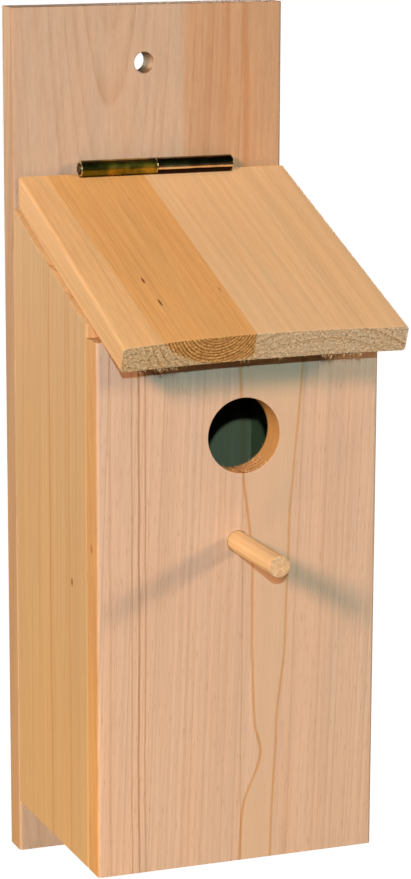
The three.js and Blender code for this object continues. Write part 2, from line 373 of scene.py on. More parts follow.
def wood(
    name,
    pith,
    turn,
    grain,
    early,
    late,
    gap,
    ring_show=0.6,
    fibre_show=0.2,
    wobble=1.2,
    seed=0.0,
    heart=None,
    tone=None,
    streaks=(),
    marks=(),
    end_tint=(0.62, 0.6, 0.56),
    fleck_show=0.25,
    broad=(0, 1, 0),
    edge_tint=None,
    end_heart=(1, 1, 1),
    end_grit=1.0,
    paint_inside_shade=True,
    curves=(),
    plain=None,
):
    """Wood cut from a round stem.

    pith is a bench point on the stem's centre and turn points the stem's Z along it. Rings lie gap
    millimetres apart. heart is (x, y, radius, blur, early, late): a round of darker wood about a point
    beside the pith, and end_heart colours it on the sawn end. tone is (x, blur, tint) and colours the
    board beyond that bench x. A streak is (across, width, tint, axis), a line along the grain at that
    place on the axis, and a mark is (bench point, half sizes, tint), a small knot or resin fleck. A
    curve is (points, width, tint), a line through (z, x) bench points, and plain is the colour between
    the first two curves. edge_tint colours the narrow faces, whose normals are square to broad.
    end_tint colours the sawn ends and end_grit says how torn they are. With paint_inside_shade, faces
    that look into the box are darkened and tinted teal grey: a painted shade for the dim light inside the
    box.
    """
    f = Finish(name)
    mapping = {
        "Vector": f.place(),
        "Location": in_frame(pith),
        "Rotation": turn,
        "Scale": (MM, MM, MM),
    }
    stock = f.node("ShaderNodeMapping", mapping, vector_type="TEXTURE").outputs[0]
    stock = f.vector("ADD", stock, (0, 0, seed * 997))
    slow = f.vector("MULTIPLY", stock, (1, 1, 0.05))
    sway = f.noise(slow, 0.045, 2, 0.5, "Color")
    sway = f.vector("SUBTRACT", sway, (0.5, 0.5, 0.5))
    sway = f.vector("MULTIPLY", sway, (wobble * 2, wobble * 2, 0))
    swayed = f.vector("ADD", stock, sway)
    cross = f.vector("MULTIPLY", swayed, (1, 1, 0))
    radius = f.vector("LENGTH", cross)

    # rings: pale early wood darkening to a late line, each ring with its own width and strength
    drift = f.noise_line(radius, 0.16, 2)
    phase = f.math("ADD", f.math("DIVIDE", radius, gap), f.math("MULTIPLY", drift, 2.4))
    index = f.math("FLOOR", phase)
    part = f.math("FRACT", phase)
    own = f.node("ShaderNodeTexWhiteNoise", {"W": index}, noise_dimensions="1D").outputs["Value"]
    line = f.ramp(part, [(0, 0.25), (0.1, 0.03), (0.5, 0.08), (0.8, 0.62), (0.92, 1.0), (1.0, 0.3)])
    own_strength = f.math("POWER", own, 1.6)
    line = f.math("MULTIPLY", line, f.math("MULTIPLY_ADD", own_strength, 0.78, 0.22))
    patchy = f.noise(f.vector("MULTIPLY", stock, (0.3, 0.3, 0.012)), 0.6, 2)
    line_here = f.math("MULTIPLY", line, f.step(patchy, 0.25, 0.7, 0.45, 1.25))

    # the cut end shows its rings more
    facing = f.math("ABSOLUTE", f.vector("DOT_PRODUCT", f.coordinates.outputs["Normal"], grain))
    end = f.step(facing, 0.55, 0.85)
    show = f.math("MULTIPLY_ADD", end, END_RINGS - ring_show, ring_show)
    late_share = f.math("MULTIPLY", line_here, show, clamp=True)

    colour_early, colour_late = early, late
    if heart:
        hx, hy, heart_radius, blur, heart_early, heart_late = heart
        off = f.vector("SUBTRACT", cross, (hx, hy, 0))
        ragged = f.noise(f.vector("MULTIPLY", stock, (0.6, 0.6, 0.02)), 0.5, 3)
        reach = f.math("ADD", f.vector("LENGTH", off), f.math("MULTIPLY", ragged, 1.6))
        inside = f.step(reach, heart_radius - blur, heart_radius + blur, 1.0, 0.0)
        colour_early = f.mix(inside, early, heart_early)
        colour_late = f.mix(inside, late, heart_late)
    colour = f.mix(late_share, colour_early, colour_late)

    normal = f.coordinates.outputs["Normal"]
    apart = f.node("ShaderNodeSeparateXYZ", {0: f.place()}).outputs
    if tone:
        tone_x, blur, tint = tone
        ragged = f.noise(f.vector("MULTIPLY", stock, (0.5, 0.5, 0.01)), 0.5, 2)
        bent = f.math("MULTIPLY_ADD", ragged, 8 * MM, apart[0])
        at = in_frame((tone_x, 0, 0)).x + 4 * MM
        beyond = f.step(bent, at - blur * MM, at + blur * MM)
        colour = f.mix(beyond, colour, tint, "MULTIPLY")

    # broad blotches, and fibres many times longer than they are wide
    blotch = f.noise(f.vector("MULTIPLY", stock, (1, 1, 0.06)), 0.11, 3, 0.55)
    colour = f.mix(f.step(blotch, 0.3, 0.7, 0.0, BLOTCH_SHOW), colour, BLOTCH_TINT, "MULTIPLY")
    band = f.noise(f.vector("MULTIPLY", stock, (1, 1, 0.006)), 0.55, 2, 0.6)
    fine = f.noise(f.vector("MULTIPLY", stock, (1, 1, 0.02)), 2.3, 3, 0.65)
    fibre = f.math("MULTIPLY_ADD", band, 0.55, f.math("MULTIPLY", fine, 0.45))
    low, high = 1 - fibre_show, 1 + fibre_show * 0.55
    shade = f.step(fibre, 0.3, 0.7, low, high)
    colour = f.mix(1.0, colour, f.grey(shade), "MULTIPLY")

    # pores and short dark flecks
    dash = f.noise(f.vector("MULTIPLY", stock, (1, 1, 0.09)), 1.9, 1, 0.4)
    dash = f.step(dash, 0.58, 0.74)
    colour = f.mix(f.math("MULTIPLY", dash, fleck_show), colour, late, "MIX")

    side_x, side_y, side_z = apart[0], apart[1], apart[2]
    for across, width, tint, axis in streaks:
        base = in_frame((across, across, 0))
        at = base.x if axis == "x" else base.y
        along = side_x if axis == "x" else side_y
        sway_line = f.noise_line(side_z, 14, 2)
        bent = f.math("MULTIPLY_ADD", sway_line, 2.0 * MM, along)
        off = f.math("ABSOLUTE", f.math("SUBTRACT", bent, at + 1.0 * MM))
        near = f.step(off, width * 0.25 * MM, width * MM, 1.0, 0.0)
        broken = f.math("MULTIPLY", near, f.step(fibre, 0.3, 0.55, 0.55, 1.0))
        colour = f.mix(broken, colour, tint, "MULTIPLY")
    for point, half, tint in marks:
        centre = f.node("ShaderNodeMapping", {
            "Vector": f.place(),
            "Location": in_frame(point),
            "Rotation": turn,
            "Scale": tuple(h * MM for h in half),
        }, vector_type="TEXTURE").outputs[0]
        near = f.step(f.vector("LENGTH", centre), 0.35, 1.0, 1.0, 0.0)
        colour = f.mix(near, colour, tint, "MULTIPLY")

    bent_lines = []
    for points, width, tint in curves:
        height_share = f.math("SUBTRACT", apart[2], in_frame((0, 0, 0)).z)
        height_share = f.math("DIVIDE", height_share, BOARD_SPAN * MM)
        stops = [(z / BOARD_SPAN, 0.5 + x / BOARD_WIDTH) for z, x in points]
        bent = f.ramp(height_share, stops, "CARDINAL")
        left_edge = in_frame((-BOARD_WIDTH / 2, 0, 0)).x
        at = f.math("MULTIPLY_ADD", bent, BOARD_WIDTH * MM, left_edge)
        off = f.math("SUBTRACT", apart[0], at)
        bent_lines.append(off)
        near = f.step(f.math("ABSOLUTE", off), width * 0.2 * MM, width * MM, 1.0, 0.0)
        colour = f.mix(near, colour, tint, "MULTIPLY")
    if plain:
        right_of = f.step(bent_lines[0], 0.3 * MM, 1.2 * MM)
        left_of = f.step(bent_lines[1], -1.2 * MM, -0.3 * MM, 1.0, 0.0)
        between = f.math("MULTIPLY", f.math("MULTIPLY", right_of, left_of), 0.75)
        colour = f.mix(between, colour, plain)

    if edge_tint:
        level = f.math("ABSOLUTE", f.vector("DOT_PRODUCT", normal, broad))
        narrow = f.step(level, 0.35, 0.75, 1.0, 0.0)
        colour = f.mix(narrow, colour, edge_tint, "MULTIPLY")

    # the sawn end: darker, open grained, with torn light fibres
    torn = f.noise(f.vector("MULTIPLY", stock, (1, 1, 0.6)), 1.05, 3, 0.7)
    end_colour = f.mix(1.0, colour, end_tint, "MULTIPLY")
    if heart:
        end_colour = f.mix(inside, end_colour, end_heart, "MULTIPLY")
        turns = f.math("FRACT", f.math("DIVIDE", radius, HEART_RING_GAP))
        dark_turn = f.step(f.math("ABSOLUTE", f.math("SUBTRACT", turns, 0.5)), 0.1, 0.34, 1.0, 0.0)
        dark_turn = f.math("MULTIPLY", dark_turn, inside)
        end_colour = f.mix(dark_turn, end_colour, HEART_RING_TINT, "MULTIPLY")
    end_line = f.math("MULTIPLY", line, 0.85 * end_grit, clamp=True)
    end_colour = f.mix(end_line, end_colour, END_LINE_TINT, "MULTIPLY")
    pit = f.step(torn, 0.46, 0.34)
    end_colour = f.mix(f.math("MULTIPLY", pit, end_grit), end_colour, PIT_TINT, "MULTIPLY")
    glint = f.step(torn, 0.5, 0.62)
    end_colour = f.mix(f.math("MULTIPLY", glint, end_grit), end_colour, GLINT_TINT, "MULTIPLY")
    colour = f.mix(end, colour, end_colour)

    # painted shade: faces inside the box are darkened, standing in for the little light that reaches in
    # there
    if paint_inside_shade:
        walls = f.vector("SUBTRACT", f.place(), INSIDE_CENTRE)
        walls = f.vector("DIVIDE", f.vector("ABSOLUTE", walls), INSIDE_HALF)
        spread = f.node("ShaderNodeSeparateXYZ", {0: walls}).outputs
        furthest = f.math("MAXIMUM", f.math("MAXIMUM", spread[0], spread[1]), spread[2])
        colour = f.mix(f.math("LESS_THAN", furthest, 1.0), colour, INSIDE_PAINTED_SHADE, "MULTIPLY")

    f.put(f.shader.inputs["Base Color"], colour)
    roughness = f.step(fibre, 0.3, 0.7, WOOD_ROUGHNESS + 0.08, WOOD_ROUGHNESS - 0.07)
    f.put(f.shader.inputs["Roughness"], roughness)
    f.shader.inputs["Specular IOR Level"].default_value = WOOD_SHINE
    flat = f.math("MULTIPLY_ADD", line, -0.25, f.math("MULTIPLY", fibre, 0.8))
    rough_end = f.math("MULTIPLY", torn, 3.2)
    height = f.math("ADD", flat, f.math("MULTIPLY", end, f.math("SUBTRACT", rough_end, flat)))
    f.bump(height, GRAIN_RELIEF)
    return f.material


UPRIGHT = (0, 0, 1)
FRONT_LEFT_CURVE = [
    (0, 1), (24, 3), (40, 9), (52, 7), (78, 5.7), (101, 5.5), (122, 5), (144, 2), (205, 0),
]
FRONT_RIGHT_CURVE = [
    (0, 13.5), (20, 14), (38, 15), (60, 16), (77, 18.3), (108, 19.5), (142, 21), (205, 26),
]
DOWN_ROOF = (0, -math.cos(ROOF_SLOPE), -math.sin(ROOF_SLOPE))
ROOF_TURN = math.pi / 2 + ROOF_SLOPE
ROOF_UPWARDS = (0, -math.sin(ROOF_SLOPE), math.cos(ROOF_SLOPE))

BACK_WOOD = wood(
    "backboard_pine",
    pith=(-15.5, 8, 253),
    turn=(0.1, 0, 0),
    grain=UPRIGHT,
    early=(0.535, 0.42, 0.295),
    late=(0.44, 0.29, 0.17),
    gap=3.0,
    ring_show=0.65,
    fibre_show=0.1,
    seed=1,
    edge_tint=(0.85, 0.8, 0.62),
    tone=(14.8, 2.2, (0.98, 0.82, 0.66)),
    streaks=[(40, 2.0, (0.93, 0.8, 0.66), "x"), (33, 1.2, (0.97, 0.9, 0.82), "x")],
)
SIDE_WOOD = wood(
    "side_pine",
    pith=(8, -30, 120),
    turn=(0.01, 0.01, 0),
    grain=UPRIGHT,
    broad=(1, 0, 0),
    early=(0.54, 0.41, 0.2),
    late=(0.42, 0.28, 0.115),
    # edge_tint lightens and warms the narrow faces: painted light on the front ends, which lie in the
    # roof's shadow
    edge_tint=(1.4, 1.15, 1.0),
    end_tint=(1.07, 1.31, 1.6),
    end_grit=0.15,
    gap=4.6,
    ring_show=0.4,
    fibre_show=0.12,
    seed=2,
    streaks=[(-54, 0.7, (0.86, 0.72, 0.55), "y"), (-76, 0.6, (0.9, 0.8, 0.68), "y")],
    marks=[((-55, -78.8, 106.3), (1.6, 1.6, 2.2), (0.5, 0.32, 0.2))],
)
FRONT_WOOD = wood(
    "front_pine",
    pith=(12.8, -77, 110),
    turn=(0, 0.036, 0),
    grain=UPRIGHT,
    early=(0.665, 0.505, 0.355),
    late=(0.45, 0.28, 0.15),
    edge_tint=(0.98, 0.84, 0.44),
    end_tint=(1.2, 1.25, 1.5),
    end_grit=1.9,
    gap=1.7,
    ring_show=0.62,
    fibre_show=0.13,
    fleck_show=0.4,
    seed=3,
    wobble=1.1,
    streaks=[
        (-41.6, 0.45, (0.8, 0.74, 0.66), "x"),
        (-38.9, 0.6, (0.66, 0.58, 0.5), "x"),
        (-36.4, 0.45, (0.74, 0.68, 0.6), "x"),
        (1.5, 0.5, (0.86, 0.8, 0.72), "x"),
        (-50, 0.8, (0.9, 0.84, 0.76), "x"),
        (-56.0, 1.6, (0.84, 0.78, 0.78), "x"),
    ],
    marks=[((-55, -101, 124), (1.5, 1.5, 2.5), (0.7, 0.5, 0.35))],
    curves=[
        (FRONT_LEFT_CURVE, 0.9, (0.9, 0.7, 0.46)),
        (FRONT_RIGHT_CURVE, 0.8, (0.92, 0.75, 0.5)),
    ],
    plain=(0.64, 0.475, 0.3),
)
FLOOR_WOOD = wood(
    "floor_pine",
    pith=(0, -40, -35),
    turn=(0, math.pi / 2, 0),
    grain=(1, 0, 0),
    early=(0.7, 0.5, 0.33),
    late=(0.52, 0.33, 0.18),
    gap=2.4,
    seed=4,
)
ROOF_LEFT_WOOD = wood(
    "roof_left_strip",
    pith=(-18.8, -14.4 - 2 * math.sin(ROOF_SLOPE), 248.6 + 2 * math.cos(ROOF_SLOPE)),
    turn=(ROOF_TURN - 0.031, 0, 0),
    grain=DOWN_ROOF,
    early=(0.79, 0.57, 0.27),
    late=(0.67, 0.42, 0.17),
    broad=ROOF_UPWARDS,
    paint_inside_shade=False,
    edge_tint=(0.82, 0.81, 0.76),
    end_tint=(1.0, 1.06, 1.25),
    end_heart=(1.12, 0.98, 0.74),
    gap=1.5,
    ring_show=0.32,
    fibre_show=0.12,
    wobble=0.8,
    seed=5,
    heart=(2.4, 14.4, 31, 0.9, (0.75, 0.475, 0.175), (0.58, 0.32, 0.09)),
    marks=[
        ((-31.7, -91.9, 219.5), (0.7, 1.2, 3.0), (0.3, 0.2, 0.12)),
        ((-30.8, -107, 213.8), (0.6, 1.2, 3.6), (0.25, 0.16, 0.1)),
        ((-6.0, -101.5, 215.9), (0.7, 1.2, 3.4), (0.28, 0.18, 0.12)),
    ],
)
ROOF_RIGHT_WOOD = wood(
    "roof_right_strip",
    pith=(22, -14.4 + 55 * math.sin(ROOF_SLOPE), 248.6 - 55 * math.cos(ROOF_SLOPE)),
    turn=(ROOF_TURN, 0.01, 0),
    grain=DOWN_ROOF,
    early=(0.8, 0.61, 0.335),
    late=(0.68, 0.47, 0.22),
    broad=ROOF_UPWARDS,
    paint_inside_shade=False,
    end_tint=(0.86, 0.88, 0.95),
    gap=3.1,
    ring_show=0.35,
    fibre_show=0.1,
    seed=6,
)
DOWEL_WOOD = wood(
    "dowel_birch",
    pith=(26, -130, 140),
    turn=(math.pi / 2, 0, 0),
    grain=(0, 1, 0),
    early=(0.79, 0.605, 0.32),
    late=(0.69, 0.46, 0.21),
    gap=1.4,
    ring_show=0.5,
    fibre_show=0.14,
    seed=7,
    end_tint=(0.98, 0.93, 0.95),
    end_grit=0.35,
)


# the colour of worn-through steel in the scratches, also used for the painted highlight on the knuckles'
# end rims
WORN_AND_HIGHLIGHT_STEEL = (0.9, 0.82, 0.55)
SCRATCH_STRETCH = (120, 2600, 2600)
SCRATCH_RELIEF = 0.00004


def metal(name, base, cloud, rough, grains=90.0, painted_reflection_bands=(), highlight_ends=()):
    """Bright metal under a thin coloured plating, a little uneven, with fine worn scratches.

    A painted reflection band is (low, high, tint): heights from the barrel's axis between which the
    colour is tinted to paint in what the barrel reflects there, dark where it would reflect shade. At the
    highlight ends, bench x values, the colour turns to bright steel: a painted highlight on the knuckles'
    end rims.
    """
    f = Finish(name)
    where = f.place()
    uneven = f.noise(where, grains, 3, 0.6)
    colour = f.mix(f.step(uneven, 0.38, 0.62), base, cloud)
    apart = f.node("ShaderNodeSeparateXYZ", {0: where}).outputs
    height = f.math("SUBTRACT", apart[2], in_frame(barrel_axis()).z)
    height = f.math("MULTIPLY_ADD", uneven, 0.5 * MM, height)
    # painted reflection and shade: bands round the barrel tinted by their height from its axis
    for low, high, tint in painted_reflection_bands:
        above = f.step(height, (low + 0.1) * MM, (low + 0.4) * MM)
        under = f.step(height, (high + 0.1) * MM, (high + 0.4) * MM, 1.0, 0.0)
        colour = f.mix(f.math("MULTIPLY", above, under), colour, tint, "MULTIPLY")
    scratch = f.noise(f.vector("MULTIPLY", where, SCRATCH_STRETCH), 1.0, 2)
    rubbed_and_highlit = f.step(scratch, 0.62, 0.8, 0, 0.35)
    # painted highlight: the knuckles' end rims are brightened to steel, merged with the real scratch wear
    for x in highlight_ends:
        off = f.math("ABSOLUTE", f.math("SUBTRACT", apart[0], in_frame((x, 0, 0)).x))
        rubbed_and_highlit = f.math("MAXIMUM", rubbed_and_highlit, f.step(off, 0.15 * MM, 0.5 * MM, 0.75, 0.0))
    colour = f.mix(rubbed_and_highlit, colour, WORN_AND_HIGHLIGHT_STEEL)
    f.put(f.shader.inputs["Base Color"], colour)
    f.shader.inputs["Metallic"].default_value = 1
    f.put(f.shader.inputs["Roughness"], f.step(uneven, 0.3, 0.7, rough, rough + 0.14))
    f.bump(f.math("ADD", f.math("MULTIPLY", scratch, 0.3), uneven), SCRATCH_RELIEF)
    return f.material


BACK_LEAF_STEEL = metal(
    "plated_back_leaf",
    (0.1, 0.12, 0.03),
    (0.42, 0.31, 0.07),
    0.26,
    # painted reflections: golden below the axis for the roof board the barrel faces, greener and then
    # dark near the top for the dim room
    painted_reflection_bands=((-5, 0.2, (1.6, 1.35, 0.55)), (0.5, 2.4, (0.45, 0.7, 0.45)), (2.4, 2.9, (0.2, 0.1, 0.1))),
    # painted highlights at the barrel's outer end and at the joint between the knuckles
    highlight_ends=(HINGE_X - HINGE_END, HINGE_X - 0.1),
)
ROOF_LEAF_STEEL = metal(
    "plated_roof_leaf",
    (0.16, 0.15, 0.07),
    (0.26, 0.24, 0.12),
    0.13,
    # painted reflections and shade: dark at the bottom for the shaded gap under the barrel, a pale stripe
    # for the lit roof board, greener and then dark near the top for the dim room
    painted_reflection_bands=(
        (-5, -1.2, (0.1, 0.04, 0.05)),
        (-1.1, 0.3, (5.0, 4.2, 5.5)),
        (0.6, 2.2, (0.35, 0.6, 0.35)),
        (2.2, 2.9, (0.08, 0.04, 0.05)),
    ),
    # painted highlight at the barrel's outer end
    highlight_ends=(HINGE_X + HINGE_END,),
)
ROD_STEEL = metal("plated_hinge_rod", (0.07, 0.06, 0.03), (0.14, 0.11, 0.05), 0.34)
PLATED_SCREW = metal("plated_screw_steel", (0.45, 0.36, 0.14), (0.6, 0.47, 0.2), 0.28)
NAIL_STEEL = metal("bright_nail_steel", (0.5, 0.5, 0.48), (0.36, 0.35, 0.33), 0.36, 400.0)


# ---------------------------------------------------------------- shaping
SPOT = 1e-4  # points nearer than this are one


def cut_plane(bm, point, normal, drop=False):
    """Cuts every face by a plane. With drop, what lies beyond the plane goes and the cut is closed."""
    everything = bm.verts[:] + bm.edges[:] + bm.faces[:]
    made = bmesh.ops.bisect_plane(
        bm, geom=everything, dist=1e-5, plane_co=point, plane_no=normal, clear_outer=drop
    )
    edges = [e for e in made["geom_cut"] if isinstance(e, bmesh.types.BMEdge)]
    if drop:
        bmesh.ops.edgeloop_fill(bm, edges=edges)
    return edges


def soften(bm, edges, width, segments):
    bmesh.ops.bevel(
        bm,
        geom=edges,
        offset=width,
        offset_type="OFFSET",
        segments=segments,
        profile=0.5,
        affect="EDGES",
        clamp_overlap=True,
        material=-1,
    )


def block(low, high):
    bm = bmesh.new()
    bmesh.ops.create_cube(bm, size=1)
    bmesh.ops.scale(bm, vec=high - low, verts=bm.verts)
    bmesh.ops.translate(bm, vec=(low + high) / 2, verts=bm.verts)
    return bm


def edges_along(bm, axis):
    found = []
    for e in bm.edges:
        run = (e.verts[1].co - e.verts[0].co).normalized()
        if abs(run[axis]) > 0.99:
            found.append(e)
    return found


def edges_at(bm, axis, level):
    return [e for e in bm.edges if all(abs(v.co[axis] - level) < SPOT for v in e.verts)]


def plank(low, high, axis, rounding=EDGE_ROUND, ends=True):
    """A planed board: its edges along the grain axis are rounded, its sawn ends only softened."""
    bm = block(low, high)
    soften(bm, edges_along(bm, axis), rounding, 6)
    if ends:
        soften(bm, edges_at(bm, axis, low[axis]), CUT_EDGE, 2)
        soften(bm, edges_at(bm, axis, high[axis]), CUT_EDGE, 2)
    return bm


def square_to(axis):
    """The unit vector along an axis."""
    normal = Vector((0, 0, 0))
    normal[axis] = 1
    return normal


def cut_across(bm, axis, levels):
    """Cuts every face at these levels of an axis."""
    for level in levels:
        cut_plane(bm, square_to(axis) * level, square_to(axis))


def fresh_verts(made):
    return [g for g in made["geom"] if isinstance(g, bmesh.types.BMVert)]


def put_in_place(bm, angle, axis, spot):
    """Turns a mesh about an axis through the origin and then moves the origin to spot."""
    bmesh.ops.rotate(bm, cent=(0, 0, 0), matrix=Matrix.Rotation(angle, 3, axis), verts=bm.verts)
    bmesh.ops.translate(bm, vec=Vector(spot), verts=bm.verts)


def take_cell(bm, x, y, z, half, sides):
    """Takes out the square of face round a point on a face square to Y, and returns its rim's edges."""
    centre = Vector((x, y, z))
    cell = min(bm.faces, key=lambda face: (face.calc_center_median() - centre).length)
    rim = cell.edges[:]
    bmesh.ops.delete(bm, geom=[cell], context="FACES_ONLY")
    bmesh.ops.subdivide_edges(bm, edges=rim, cuts=sides // 4 - 1)
    reach = half + 0.01
    return [
        e
        for e in bm.edges
        if e.is_boundary
        and all(abs(v.co.y - y) < 1e-3 for v in e.verts)
        and all(abs(v.co.x - x) < reach and abs(v.co.z - z) < reach for v in e.verts)
    ]


def bore(bm, x, z, half, profile, sides, through=True):
    """Bores a round hole along Y. profile is (radius, y) from one mouth inwards, to the other mouth."""
    cut_across(bm, 0, (x - half, x + half))
    cut_across(bm, 2, (z - half, z + half))
    loops = [take_cell(bm, x, profile[0][1], z, half, sides)]
    far_rim = take_cell(bm, x, profile[-1][1], z, half, sides) if through else None
    for step, (radius, y) in enumerate(profile):
        capped = not through and step == len(profile) - 1
        place = Matrix.Translation((x, y, z)) @ Matrix.Rotation(math.pi / 2, 4, "X")
        made = bmesh.ops.create_circle(
            bm, cap_ends=capped, segments=sides, radius=radius, matrix=place
        )
        ring = list({e for v in made["verts"] for e in v.link_edges})
        bmesh.ops.bridge_loops(bm, edges=loops[-1] + ring)
        loops.append(ring)
    if through:
        bmesh.ops.bridge_loops(bm, edges=loops[-1] + far_rim)


def piece(name, bm, body, finishes, stands_for=(), crease=32, weigh=True):
    """Makes the finished object from a bench mesh, in its place in the frame."""
    bmesh.ops.transform(bm, matrix=BENCH, verts=bm.verts)
    bmesh.ops.recalc_face_normals(bm, faces=bm.faces)
    for face in bm.faces:
        face.smooth = True
    limit = math.radians(crease)
    for e in bm.edges:
        e.smooth = len(e.link_faces) != 2 or e.calc_face_angle(0) < limit
    data = bpy.data.meshes.new(name)
    bm.to_mesh(data)
    bm.free()
    for finish in finishes:
        data.materials.append(finish)
    made = bpy.data.objects.new(name, data)
    bpy.context.scene.collection.objects.link(made)
    if weigh:
        weighted = made.modifiers.new("even_shading", "WEIGHTED_NORMAL")
        weighted.keep_sharp = True
        weighted.weight = 100
    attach(made, body)
    if stands_for:
        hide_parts(*stands_for)


# ---------------------------------------------------------------- boards
def nail_places():
    side_low, side_high = bench_box("side_right")
    side_x = (side_low.x + side_high.x) / 2
    floor_low, floor_high = bench_box("floor_panel")
    places = []
    for name, x in (("side_left", -side_x), ("side_right", side_x)):
        for number, z in enumerate(SIDE_NAIL_HEIGHTS, 1):
            places.append((f"{name}_nail_{number}", x, z))
    for number, side in enumerate((-1, 1), 1):
        z = (floor_low.z + floor_high.z) / 2
        places.append((f"floor_nail_{number}", side * FLOOR_NAIL_SPACING / 2, z))
    return places


def build_backboard():
    low, high = bench_box("backboard")
    bm = plank(low, high, 2)
    front = low.y
    wall = [
        (HANG_RADIUS + 0.25, front),
        (HANG_RADIUS, front + 0.25),
        (HANG_RADIUS, -0.25),
        (HANG_RADIUS + 0.25, 0),
    ]
    bore(bm, HANG_X, HANG_Z, 6, wall, ROUND_SIDES)
    for _, x, z in nail_places():
        bore(bm, x, z, 3, [(2.1, 0), (1.95, -0.12), (1.95, -0.7)], 24, through=False)
    piece("backboard_plank", bm, "box", [BACK_WOOD], ["backboard"])


def roof_under(y):
    """The height of the roof board's underside over a bench y."""
    roof_high = bench_box("roof_panel")[1]
    drop = BOARD_THICK / math.cos(ROOF_SLOPE)
    return roof_high.z - drop - (roof_high.y - y) * math.tan(ROOF_SLOPE)


def build_side(node):
    low, high = bench_box(node)
    bm = plank(low, Vector((high.x, high.y, high.z + PLANE_ROOM)), 2, ends=False)
    soften(bm, edges_at(bm, 2, low.z), CUT_EDGE, 2)
    point = Vector((0, high.y, roof_under(high.y) - REST_GAP))
    edges = cut_plane(bm, point, Vector(ROOF_UPWARDS), drop=True)
    soften(bm, edges, CUT_EDGE, 2)
    piece(f"{node}_plank", bm, "box", [SIDE_WOOD], [node])


def build_front():
    low, high = bench_box("front_panel")
    bm = plank(low, high, 2)
    entrance = [
        (HOLE_RADIUS + 0.3, low.y),
        (HOLE_RADIUS + 0.08, low.y + 0.1),
        (HOLE_RADIUS, low.y + 0.35),
        (HOLE_RADIUS, high.y - 0.2),
        (HOLE_RADIUS + 0.2, high.y),
    ]
    bore(bm, HOLE_X, HOLE_Z, 18, entrance, ROUND_SIDES)
    snug = PERCH_RADIUS + 0.15
    bore(bm, PERCH_X, PERCH_Z, 6, [(snug + 0.1, low.y), (snug, low.y + 0.12), (snug, high.y)], 48)
    piece("front_plank", bm, "box", [FRONT_WOOD], ["front_panel"])


def build_floor():
    low, high = bench_box("floor_panel")
    bm = plank(low, high, 0, 0.4)
    piece("floor_plank", bm, "box", [FLOOR_WOOD], ["floor_panel"])


def build_perch():
    low, high = bench_box("perch")
    length = high.y - low.y
    bm = bmesh.new()
    tip = 0.35
    profile = [
        (0, 0),
        (PERCH_RADIUS - tip, 0),
        (PERCH_RADIUS - 0.12, 0.12),
        (PERCH_RADIUS, tip),
        (PERCH_RADIUS, length - tip),
        (PERCH_RADIUS - tip, length),
        (0, length),
    ]
    lathe(bm, profile, ROUND_SIDES)
    put_in_place(bm, -math.pi / 2, "X", (PERCH_X, low.y, PERCH_Z))
    piece("perch_dowel", bm, "box", [DOWEL_WOOD], ["perch"])


def lathe(bm, profile, steps):
    """Turns a profile of (radius, z) pairs, which starts and ends on the axis, round Z."""
    points = [bm.verts.new((radius, 0, z)) for radius, z in profile]
    edges = [bm.edges.new(pair) for pair in zip(points, points[1:])]
    bmesh.ops.spin(
        bm,
        geom=points + edges,
        cent=(0, 0, 0),
        axis=(0, 0, 1),
        angle=2 * math.pi,
        steps=steps,
        use_merge=True,
        use_duplicate=False,
    )
    bmesh.ops.remove_doubles(bm, verts=bm.verts, dist=SPOT)


def roof_cup(across, along):
    """How far the roof board has cupped upwards, at shares of its width and of its length."""
    off = 2 * across - 1
    return ROOF_CROWN * along * (1 - off * off)


def roof_thinning(across, along):
    """How far the underside of the overhang has been planed away."""
    share = min(1, max(0, (along - THIN_FROM) / (1 - THIN_FROM)))
    return (THIN_LEFT + THIN_MORE * across) * share * share * (3 - 2 * share)


def build_roof():
    low, high = bench_box("roof_panel")
    width = high.x - low.x
    middle = (low.x + high.x) / 2
    spare = 10
    bottom = Vector((-width / 2, -ROOF_LENGTH, -BOARD_THICK))
    bm = plank(bottom, Vector((width / 2, spare, 0)), 1, ends=False)
    soften(bm, edges_at(bm, 1, -ROOF_LENGTH), 0.35, 2)
    steps = 12
    seam = ROOF_SEAM_X - middle
    cuts = [width * (k / steps - 0.5) for k in range(1, steps)]
    cuts = [x for x in cuts if abs(x - seam) > 3] + [seam]
    cut_across(bm, 0, cuts)
    shares = (0.17, 0.33, 0.5, 0.67, THIN_FROM, 0.83, 0.88, 0.92, 0.96)
    cut_across(bm, 1, [-ROOF_LENGTH * share for share in shares])
    for v in bm.verts:
        across = v.co.x / width + 0.5
        along = max(0, -v.co.y / ROOF_LENGTH)
        v.co.z += roof_cup(across, along)
        if v.co.z > -BOARD_THICK / 2:
            v.co.z -= ROOF_WEAR * max(0, 1 - across / 0.5) ** 2 * along * along
        else:
            v.co.z += roof_thinning(across, along)
    put_in_place(bm, ROOF_SLOPE, "X", (middle, high.y, high.z))
    cut_plane(bm, Vector((0, high.y, 0)), Vector((0, 1, 0)), drop=True)
    carve_seat(bm)
    for face in bm.faces:
        face.material_index = 0 if face.calc_center_median().x < ROOF_SEAM_X else 1
    finishes = [ROOF_LEFT_WOOD, ROOF_RIGHT_WOOD]
    piece("roof_plank", bm, "lid", finishes, ["roof_panel"])


def carve_seat(bm):
    """A shallow round seat along the rear top edge, where the hinge's barrel turns."""
    axis = barrel_axis()
    radius = BARREL_RADIUS + SWEEP_GAP
    end = HINGE_END + SWEEP_GAP
    step = 0.06
    cut_across(bm, 0, (HINGE_X - end, HINGE_X - end + step, HINGE_X + end - step, HINGE_X + end))
    cut_across(bm, 1, (-17.8, -17.2, -16.4, -15.4))
    for v in bm.verts:
        off = v.co.y - axis.y
        if v.co.z < axis.z - 6 or abs(off) > radius or abs(v.co.x - HINGE_X) > end - step / 2:
            continue
        v.co.z = min(v.co.z, axis.z - math.sqrt(radius * radius - off * off))


# ---------------------------------------------------------------- hinge
def near_axis(v, axis, reach):
    return math.hypot(v.co.y - axis.y, v.co.z - axis.z) < reach


def upper_faces(bm, level, inner, side):
    """The faces at a level that lie to the given side of inner."""
    found = []
    for face in bm.faces:
        beyond = (face.calc_center_median().x - inner) * side > 0
        if beyond and all(abs(v.co.z - level) < 1e-3 for v in face.verts):
            found.append(face)
    return found


